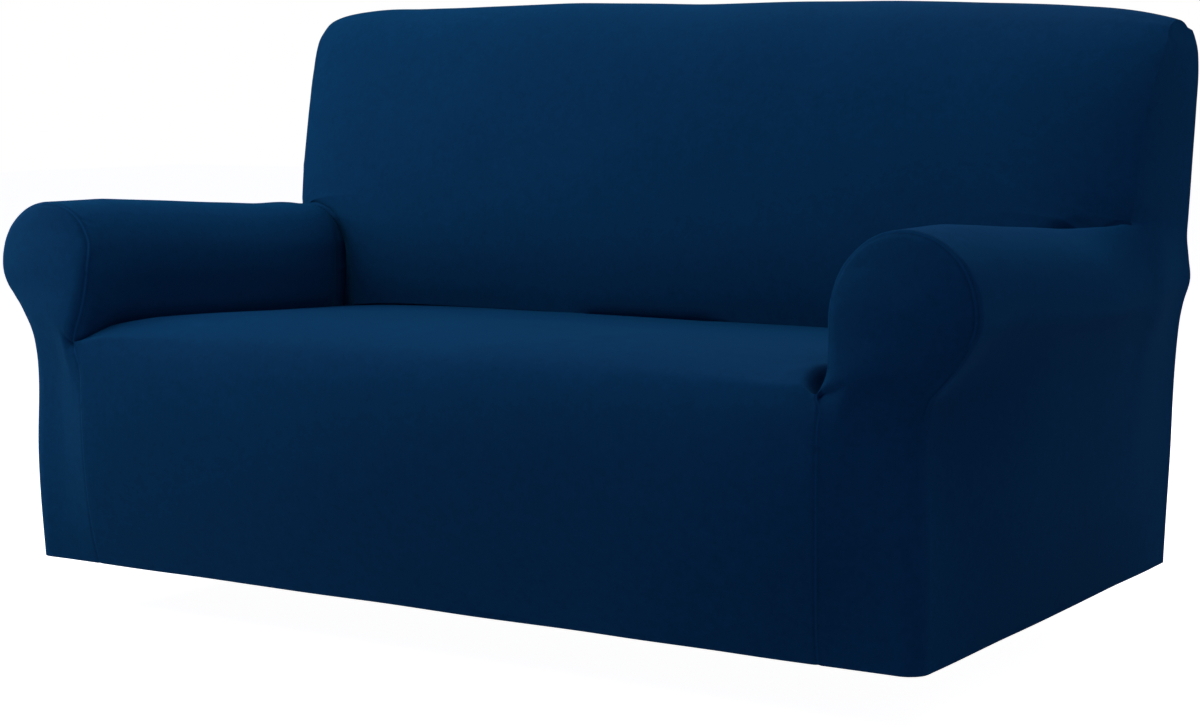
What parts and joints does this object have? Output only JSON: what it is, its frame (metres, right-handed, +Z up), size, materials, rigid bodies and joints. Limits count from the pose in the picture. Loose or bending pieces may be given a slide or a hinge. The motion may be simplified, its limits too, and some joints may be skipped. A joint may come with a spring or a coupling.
{
  "type": "sofa slipcover",
  "caption": "Fitted stretch slipcover for a sofa with rolled arms, in the hollow form it takes on: seat with apron, inside and outside back, rolled arms and scroll fronts, open underneath.",
  "frame": {"origin": "just under the cloth of the back's top, in the middle, where the sofa's back carries the cover", "axes": "+X along the cover's width to the arm that is on the right seen from in front, +Y from front to back, +Z up"},
  "size_m": [1.6555, 0.93, 0.8634],
  "materials": {
    "fabric": "dark blue fine stretch knit, matte with a faint soft sheen"
  },
  "bodies": {
    "root": {"seat_and_front": "fabric", "inside_back": "fabric", "outside_back": "fabric", "arm_right": "fabric", "arm_left": "fabric", "arm_front_right": "fabric", "arm_front_left": "fabric"}
  },
  "joints": []
}
